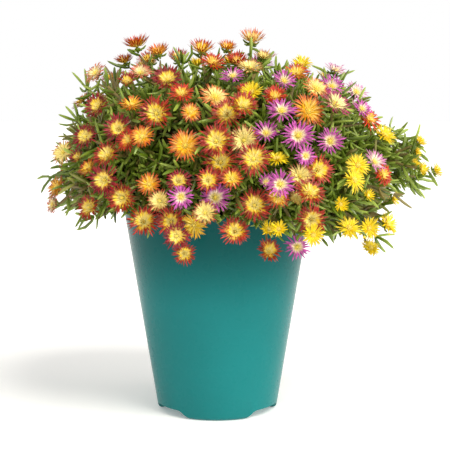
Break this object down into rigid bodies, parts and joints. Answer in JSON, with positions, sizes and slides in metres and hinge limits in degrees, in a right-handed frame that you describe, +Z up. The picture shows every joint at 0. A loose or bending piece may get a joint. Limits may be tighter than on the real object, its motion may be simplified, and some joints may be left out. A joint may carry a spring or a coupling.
{
  "type": "potted ice plant",
  "caption": "Mounding succulent ice plant with narrow leaves and many-petalled red, magenta and yellow blooms, in a tapered round plastic pot.",
  "frame": {"origin": "centre of the pot's flat base, which stands on the surface", "axes": "+Z up along the pot's axis, +X to the right of a viewer who faces the front, where most blooms are, and +Y to the back"},
  "size_m": [0.3483, 0.2945, 0.3375],
  "materials": {
    "pot": "satin",
    "soil": "matte",
    "foliage": "satin",
    "fire_petals": "satin",
    "magenta_petals": "satin",
    "yellow_petals": "satin"
  },
  "bodies": {
    "root": {"fire_spray_01": "fire_petals", "fire_spray_02": "fire_petals", "fire_spray_03": "fire_petals", "fire_spray_04": "fire_petals", "fire_spray_05": "fire_petals", "fire_spray_06": "fire_petals", "fire_spray_07": "fire_petals", "fire_spray_08": "fire_petals", "fire_spray_09": "fire_petals", "fire_spray_10": "fire_petals", "fire_spray_11": "fire_petals", "fire_spray_12": "fire_petals", "fire_spray_13": "fire_petals", "fire_spray_14": "fire_petals", "fire_spray_15": "fire_petals", "fire_spray_16": "fire_petals", "fire_spray_17": "fire_petals", "fire_spray_18": "fire_petals", "fire_spray_19": "fire_petals", "fire_spray_20": "fire_petals", "fire_spray_21": "fire_petals", "fire_spray_22": "fire_petals", "fire_spray_23": "fire_petals", "fire_spray_24": "fire_petals", "fire_spray_25": "fire_petals", "fire_spray_26": "fire_petals", "fire_spray_27": "fire_petals", "foliage_back": "foliage", "foliage_left": "foliage", "foliage_right": "foliage", "magenta_spray_01": "magenta_petals", "magenta_spray_02": "magenta_petals", "magenta_spray_03": "magenta_petals", "magenta_spray_04": "magenta_petals", "magenta_spray_05": "magenta_petals", "magenta_spray_06": "magenta_petals", "magenta_spray_07": "magenta_petals", "magenta_spray_08": "magenta_petals", "magenta_spray_09": "magenta_petals", "magenta_spray_10": "magenta_petals", "magenta_spray_11": "magenta_petals", "magenta_spray_12": "magenta_petals", "magenta_spray_13": "magenta_petals", "magenta_spray_14": "magenta_petals", "pot": "pot", "soil": "soil", "yellow_spray_01": "yellow_petals", "yellow_spray_02": "yellow_petals", "yellow_spray_03": "yellow_petals", "yellow_spray_04": "yellow_petals", "yellow_spray_05": "yellow_petals", "yellow_spray_06": "yellow_petals", "yellow_spray_07": "yellow_petals", "yellow_spray_08": "yellow_petals", "yellow_spray_09": "yellow_petals", "yellow_spray_10": "yellow_petals", "yellow_spray_11": "yellow_petals", "yellow_spray_12": "yellow_petals", "yellow_spray_13": "yellow_petals", "yellow_spray_14": "yellow_petals"}
  },
  "joints": []
}
